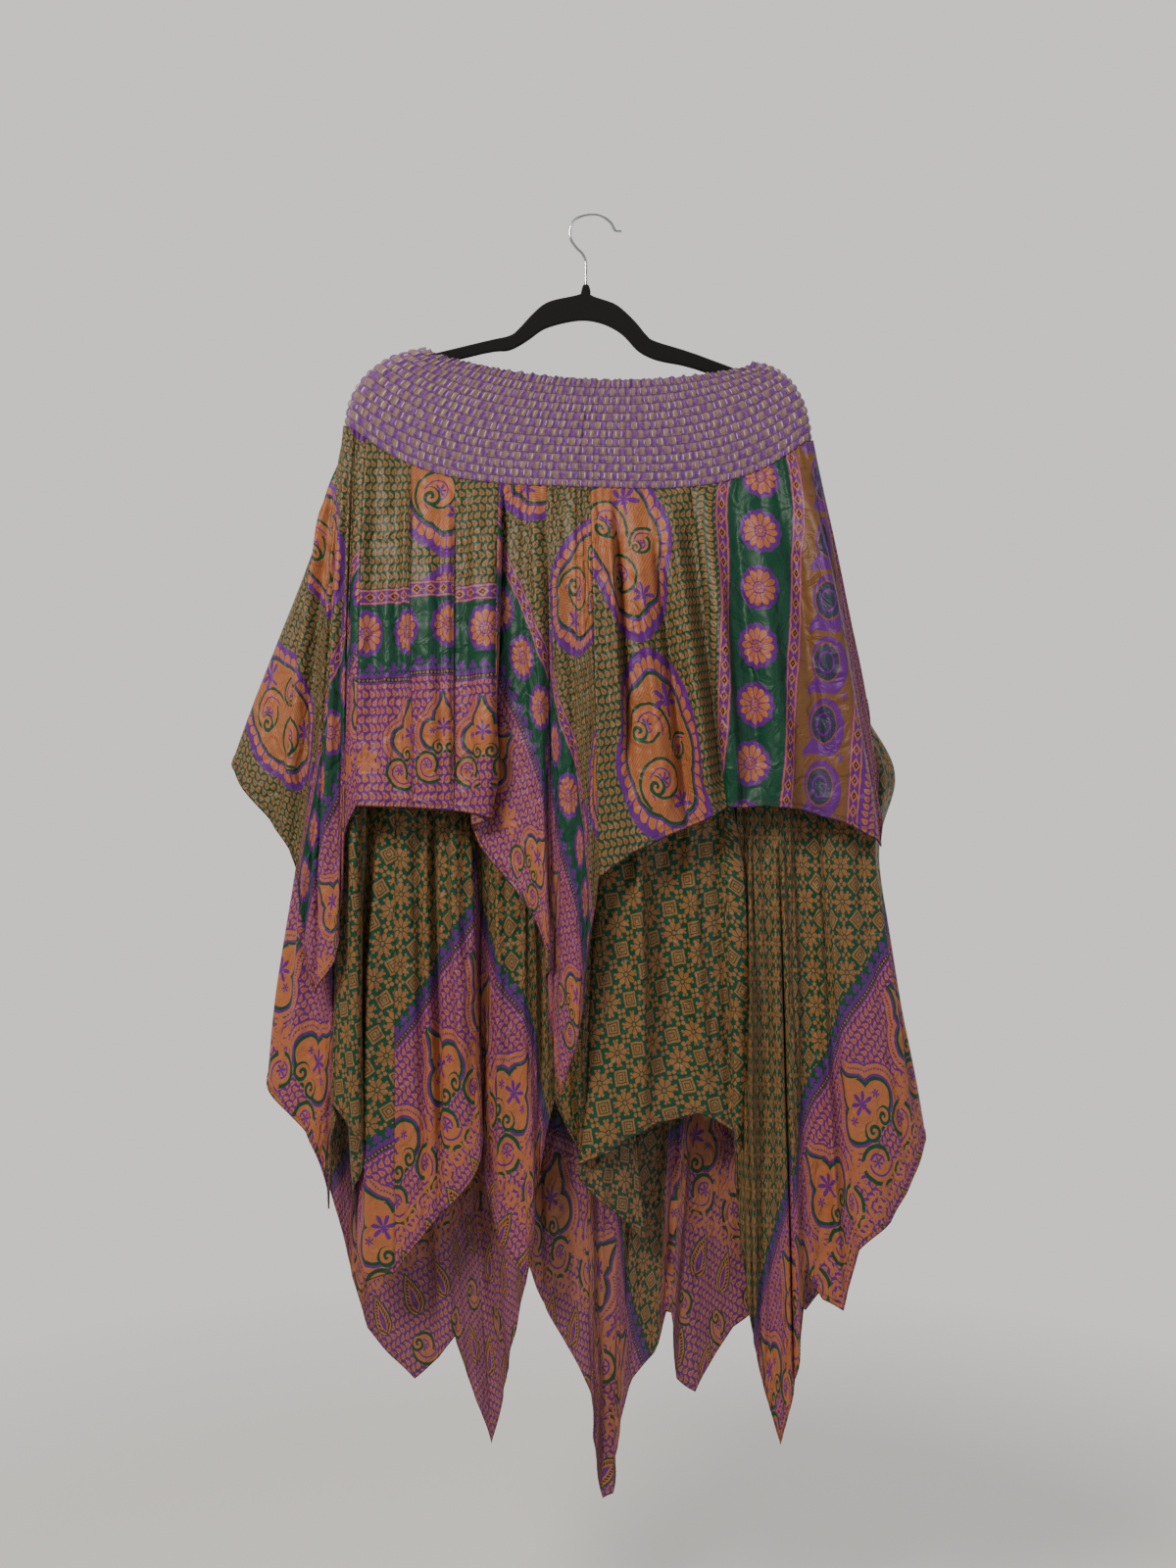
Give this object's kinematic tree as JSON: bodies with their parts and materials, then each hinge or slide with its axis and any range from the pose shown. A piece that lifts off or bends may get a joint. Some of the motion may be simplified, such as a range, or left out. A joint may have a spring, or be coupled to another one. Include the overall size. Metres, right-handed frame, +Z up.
{
  "type": "pixie skirt on a hanger",
  "caption": "Pixie skirt with a wide shirred waistband and two tiers of pointed sari-cloth panels, hanging on a slim velvet hanger with a wire hook.",
  "frame": {"origin": "inside top of the hanger's hook, where it hangs", "axes": "+Z up, -Y towards the front of the skirt, +X to the right as seen from the front"},
  "size_m": [0.6486, 0.1212, 1.219],
  "materials": {
    "band_cloth": "shirred printed sari cloth, taupe and purple, soft sheen",
    "upper_cloth": "printed sari silk, copper, purple and green, satin sheen",
    "lower_cloth": "printed sari silk, copper on green with purple borders, satin sheen",
    "velvet": "black flocked velvet, matte",
    "wire": "polished chrome"
  },
  "bodies": {
    "root": {"band_left": "band_cloth", "band_right": "band_cloth", "upper_front_1": "upper_cloth", "upper_front_2": "upper_cloth", "upper_front_3": "upper_cloth", "upper_front_4": "upper_cloth", "upper_front_5": "upper_cloth", "upper_back_1": "upper_cloth", "upper_back_2": "upper_cloth", "upper_back_3": "upper_cloth", "upper_back_4": "upper_cloth", "lower_front_1": "lower_cloth", "lower_front_2": "lower_cloth", "lower_front_3": "lower_cloth", "lower_front_4": "lower_cloth", "lower_back_1": "lower_cloth", "lower_back_2": "lower_cloth", "lower_back_3": "lower_cloth", "lower_back_4": "lower_cloth", "hanger_body": "velvet", "hanger_hook": "wire"}
  },
  "joints": []
}
